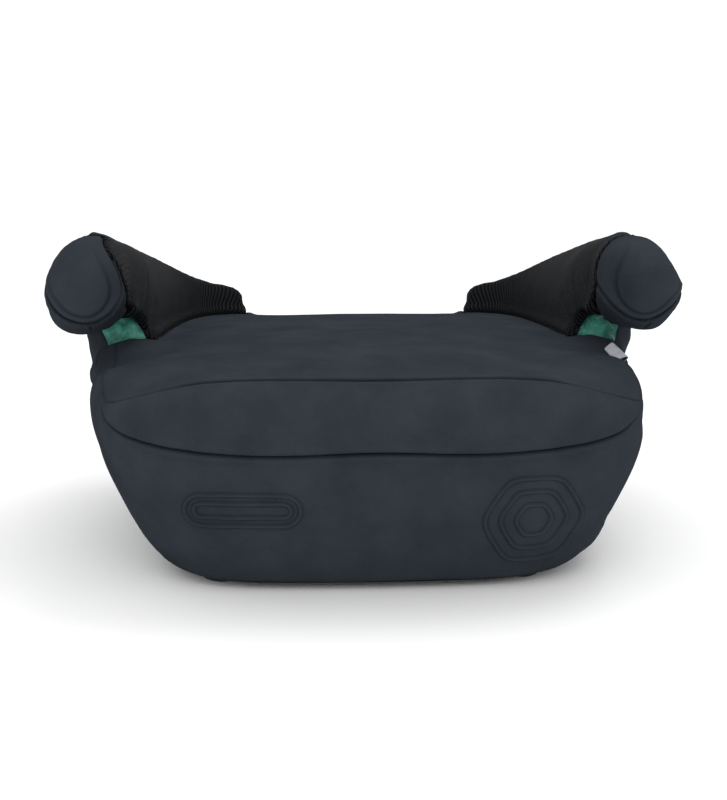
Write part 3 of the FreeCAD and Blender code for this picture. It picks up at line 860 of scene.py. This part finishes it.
# ---------------------------------------------------------------- materials
class Look:
    """One material and short ways to add nodes to it."""

    def __init__(self, name, roughness, gloss=0.5, **sockets):
        self.material = bpy.data.materials.new(name)
        self.material.use_nodes = True
        self.tree = self.material.node_tree
        self.shader = self.tree.nodes["Principled BSDF"]
        self.shader.inputs["Roughness"].default_value = roughness
        self.shader.inputs["Specular IOR Level"].default_value = gloss
        for label, value in sockets.items():
            self.shader.inputs[label.replace("_", " ").title()].default_value = value
        self.place = self.node("ShaderNodeTexCoord").outputs["Object"]

    def node(self, kind, inputs=(), **settings):
        made = self.tree.nodes.new(kind)
        for key, value in settings.items():
            setattr(made, key, value)
        for key, value in dict(inputs).items():
            if isinstance(value, bpy.types.NodeSocket):
                self.tree.links.new(value, made.inputs[key])
            else:
                made.inputs[key].default_value = value
        return made

    def math(self, operation, *values):
        return self.node("ShaderNodeMath", enumerate(values), operation=operation).outputs[0]

    def noise(self, scale, detail=2.0, roughness=0.5):
        inputs = {"Vector": self.place, "Scale": scale, "Detail": detail, "Roughness": roughness}
        return self.node("ShaderNodeTexNoise", inputs).outputs["Fac"]

    def cells(self, scale, feature="F1"):
        return self.node("ShaderNodeTexVoronoi", {"Vector": self.place, "Scale": scale},
                         feature=feature).outputs["Distance"]

    def wave(self, length, pitch, wander=0.0):
        """Sine from -1 to 1 along a length in metres."""
        turn = self.math("MULTIPLY", length, 2 * math.pi / pitch)
        if wander:
            turn = self.math("ADD", turn, self.math("MULTIPLY", self.noise(60), wander))
        return self.math("SINE", turn)

    def stripes(self, direction, pitch, wander=0.0):
        along = self.node("ShaderNodeVectorMath", {0: self.place, 1: direction},
                          operation="DOT_PRODUCT")
        return self.wave(along.outputs["Value"], pitch, wander)

    def ramp(self, factor, low, high, start=0.0, end=1.0):
        share = self.node("ShaderNodeMapRange",
                          {"Value": factor, "From Min": start, "From Max": end}).outputs[0]
        return self.node("ShaderNodeMix", {"Factor": share, 6: (*low, 1), 7: (*high, 1)},
                         data_type="RGBA").outputs[2]

    def spread(self, value, low, high):
        """A value from 0 to 1, spread from `low` to `high`."""
        return self.node("ShaderNodeMapRange",
                         {"Value": value, "To Min": low, "To Max": high}).outputs[0]

    # Darkens the colour by the painted shade stored on the mesh, in seams, welts, beside the
    # embossing and inside the label's fold.
    def paint_shade(self, color, amount):
        near = self.node("ShaderNodeAttribute", attribute_name="painted_shade").outputs["Fac"]
        shade = self.math("SUBTRACT", 1.0, self.math("MULTIPLY", near, amount))
        return self.node("ShaderNodeVectorMath", {0: color, "Scale": shade},
                         operation="SCALE").outputs[0]

    def finish(self, color, bump=None, height=0.0002, roughness=None):
        self.tree.links.new(color, self.shader.inputs["Base Color"])
        if bump is not None:
            relief_node = self.node("ShaderNodeBump",
                                    {"Height": bump, "Distance": height, "Strength": 1.0})
            self.tree.links.new(relief_node.outputs[0], self.shader.inputs["Normal"])
        if roughness is not None:
            self.tree.links.new(roughness, self.shader.inputs["Roughness"])
        return self.material


def charcoal_knit():
    """Smooth bonded knit: fine loops, faint mottling and a soft bloom at the edges."""
    look = Look("charcoal_knit", 0.85, gloss=0.0, sheen_weight=0.01, sheen_roughness=0.5)
    look.shader.inputs["Sheen Tint"].default_value = (0.7, 0.76, 0.9, 1)
    rows = look.stripes((0.0, 0.55, 0.83), 0.0011, wander=0.6)
    wales = look.stripes((1.0, 0.35, 0.12), 0.0009, wander=0.6)
    loops = look.math("MULTIPLY", rows, wales)
    fuzz = look.noise(2600, 2.0)
    tone = look.math("ADD", look.math("MULTIPLY", look.noise(28, 5.0, 0.6), 0.6),
                     look.math("MULTIPLY", fuzz, 0.4))
    color = look.ramp(tone, (0.0210, 0.0252, 0.0312), (0.0345, 0.0415, 0.0505), 0.32, 0.7)
    bump = look.math("ADD", look.math("MULTIPLY", loops, 0.5), fuzz)
    # painted shade darkens the knit in its seams
    color = look.paint_shade(color, 0.75)
    return look.finish(color, bump, 0.00014, look.spread(tone, 0.78, 0.92))


def black_mesh():
    """Ribbed air mesh: ribs across the armrest, leaning towards the wing, and holes between."""
    look = Look("black_mesh", 0.75, gloss=0.06, sheen_weight=0.005, sheen_roughness=0.4)
    mirrored = look.node("ShaderNodeVectorMath", {0: look.place}, operation="ABSOLUTE").outputs[0]
    across = look.node("ShaderNodeSeparateXYZ", {0: mirrored}).outputs[0]
    axes = look.node("ShaderNodeSeparateXYZ", {0: look.place}).outputs
    sideways = look.math("SUBTRACT", across, RING_CENTRE.x)
    backwards = look.math("ADD", axes[1], 0.095)
    along = look.math("SQRT", look.math("ADD", look.math("MULTIPLY", sideways, sideways),
                                        look.math("MULTIPLY", backwards, backwards)))
    lift = look.math("MULTIPLY", look.math("SUBTRACT", axes[2], 0.18), 3.2)
    lean = look.math("MULTIPLY", lift, along)
    ribs = look.wave(look.math("SUBTRACT", along, lean), 0.0026, wander=0.35)
    climb = look.math("ADD", axes[2], look.math("MULTIPLY", along, 0.35))
    steps = look.wave(climb, 0.0023, wander=0.35)
    raised = look.math("MULTIPLY", look.math("ADD", ribs, 1.0), 0.5)
    open_share = look.math("MULTIPLY", look.math("ADD", steps, 1.0), 0.5)
    holes = look.math("MULTIPLY", look.math("SUBTRACT", 1.0, raised), open_share)
    height = look.math("SUBTRACT", raised, look.math("MULTIPLY", holes, 0.9))
    color = look.ramp(height, (0.0007, 0.0009, 0.0011), (0.0118, 0.0140, 0.0165), -0.2, 1.0)
    bump = look.math("ADD", height, look.math("MULTIPLY", look.noise(1800), 0.25))
    # painted shade darkens the mesh in its seams
    return look.finish(look.paint_shade(color, 0.6), bump, 0.0007)


def green_satin():
    """Satin weave: a close diagonal line, a bright sheen and paler patches painted in as
    highlights.
    """
    look = Look("green_satin", 0.34, sheen_weight=0.3, sheen_roughness=0.3, anisotropic=0.4)
    twill = look.stripes((0.62, 0.45, 0.64), 0.0009, wander=0.4)
    highlight_patch = look.noise(85, 4.0, 0.6)
    # painted highlights: the colour turns paler in noise patches
    color = look.ramp(highlight_patch, (0.010, 0.123, 0.088), (0.077, 0.37, 0.27), 0.38, 0.66)
    bump = look.math("ADD", twill, look.math("MULTIPLY", look.noise(260, 3.0), 3.0))
    # painted shade darkens the satin in its seams
    color = look.paint_shade(color, 0.75)
    return look.finish(color, bump, 0.00014, look.spread(highlight_patch, 0.24, 0.46))


def moulding():
    look = Look("moulding", 0.5)
    grain = look.cells(1400)
    color = look.ramp(look.noise(40, 3.0), (0.012, 0.012, 0.013), (0.02, 0.02, 0.022), 0.3, 0.7)
    return look.finish(color, grain, 0.00015, look.spread(grain, 0.4, 0.62))


def expanded_foam():
    look = Look("expanded_foam", 0.8)
    beads = look.cells(260)
    color = look.ramp(beads, (0.86, 0.86, 0.84), (0.6, 0.6, 0.58), 0.3, 0.9)
    return look.finish(color, look.math("SUBTRACT", 1.0, beads), 0.0006)


def soft_foam():
    look = Look("soft_foam", 0.9)
    pores = look.cells(900)
    color = look.ramp(pores, (0.2, 0.21, 0.22), (0.42, 0.43, 0.45), 0.1, 0.7)
    return look.finish(color, pores, 0.0004)


def screw_steel():
    look = Look("screw_steel", 0.35, metallic=1.0)
    rings = look.noise(700, 3.0)
    color = look.ramp(rings, (0.42, 0.42, 0.44), (0.66, 0.66, 0.68), 0.3, 0.7)
    return look.finish(color, rings, 0.00005, look.spread(rings, 0.25, 0.5))


def foot_rubber():
    look = Look("foot_rubber", 0.85)
    specks = look.noise(900, 3.0)
    color = look.ramp(specks, (0.008, 0.008, 0.009), (0.018, 0.018, 0.019), 0.3, 0.7)
    return look.finish(color, specks, 0.0002)


def woven(name, low, high, pitch, roughness):
    """Plain weave of two crossing sets of threads."""
    look = Look(name, roughness, sheen_weight=0.1)
    warp, weft = look.stripes((1, 0, 0.3), pitch), look.stripes((0, 1, 0.8), pitch)
    threads = look.math("MULTIPLY", warp, weft)
    tone = look.math("ADD", look.math("MULTIPLY", threads, 0.3), look.noise(300, 3.0))
    # painted shade: nearly black wherever the mesh marks it, as inside the label's fold
    color = look.paint_shade(look.ramp(tone, low, high, 0.2, 0.8), 0.97)
    return look.finish(color, threads, pitch * 0.15)


def elastic():
    look = Look("elastic", 0.7)
    one, other = look.stripes((0.7, 0.7, 0), 0.0012), look.stripes((0.7, -0.7, 0), 0.0012)
    braid = look.math("MULTIPLY", one, other)
    color = look.ramp(braid, (0.012, 0.012, 0.013), (0.05, 0.05, 0.052), -1, 1)
    return look.finish(color, braid, 0.0002)


MATERIALS = {
    "charcoal_knit": charcoal_knit(),
    "black_mesh": black_mesh(),
    "green_satin": green_satin(),
    "moulding": moulding(),
    "expanded_foam": expanded_foam(),
    "soft_foam": soft_foam(),
    "screw_steel": screw_steel(),
    "foot_rubber": foot_rubber(),
    "hem_tape": woven("hem_tape", (0.010, 0.010, 0.011), (0.03, 0.03, 0.033), 0.0012, 0.8),
    "elastic": elastic(),
    "label_tape": woven("label_tape", (0.36, 0.38, 0.42), (0.52, 0.54, 0.58), 0.0006, 0.6),
}


def dress_cad_nodes():
    """Gives every CAD node the finish of its slot."""
    for row in frame["record"]["subparts"]:
        node = NODES[row["node"]]
        node.data.materials.clear()
        node.data.materials.append(MATERIALS[row["material_slot"]])


# ---------------------------------------------------------------- stage, light and camera
AIM = (0, 0, 0.1)               # the lamps and the camera look at this point
WORLD_LIGHT = 1.12
# lamp: place, size, watts
LAMPS = [("key", (0.7, 0.35, 1.8), 0.8, 6), ("front_fill", (0.0, -1.7, 1.2), 1.4, 8)]
CAMERA_AZIMUTH, CAMERA_ELEVATION = -2.8, 11.3    # degrees
CAMERA_DISTANCE = 1.1
CAMERA_LENS = 67.05             # mm, on a 36 mm sensor
CAMERA_SHIFT = -0.0025


def stage():
    bpy.ops.mesh.primitive_plane_add(size=16, location=(0, 0, 0))
    floor = bpy.context.object
    floor.name = "studio_floor"
    look = Look("studio_white", 0.95)
    color = look.ramp(look.noise(3), (0.93, 0.93, 0.93), (0.95, 0.95, 0.95))
    floor.data.materials.append(look.finish(color))
    world = bpy.data.worlds.new("studio")
    world.use_nodes = True
    world.node_tree.nodes["Background"].inputs[0].default_value = (1, 1, 1, 1)
    world.node_tree.nodes["Background"].inputs[1].default_value = WORLD_LIGHT
    bpy.context.scene.world = world
    bpy.context.scene.view_settings.view_transform = "Standard"
    for name, place, size, power in LAMPS:
        data = bpy.data.lights.new(name, "AREA")
        data.size = size
        data.energy = power
        lamp = bpy.data.objects.new(name, data)
        lamp.location = place
        towards = Vector(AIM) - Vector(place)
        lamp.rotation_euler = towards.to_track_quat("-Z", "Y").to_euler()
        bpy.context.scene.collection.objects.link(lamp)


def camera():
    azimuth, elevation = math.radians(CAMERA_AZIMUTH), math.radians(CAMERA_ELEVATION)
    level = math.cos(elevation)
    back = Vector((math.sin(azimuth) * level, -math.cos(azimuth) * level, math.sin(elevation)))
    data = bpy.data.cameras.new("camera")
    data.sensor_width = 36
    data.lens = CAMERA_LENS
    data.clip_start = 0.05
    data.shift_y = CAMERA_SHIFT
    obj = bpy.data.objects.new("camera", data)
    obj.location = Vector(AIM) + back * CAMERA_DISTANCE
    obj.rotation_euler = (-back).to_track_quat("-Z", "Y").to_euler()
    bpy.context.scene.collection.objects.link(obj)
    bpy.context.scene.camera = obj


dress_cad_nodes()
split_cover(make_cover())
make_label()
stage()
camera()
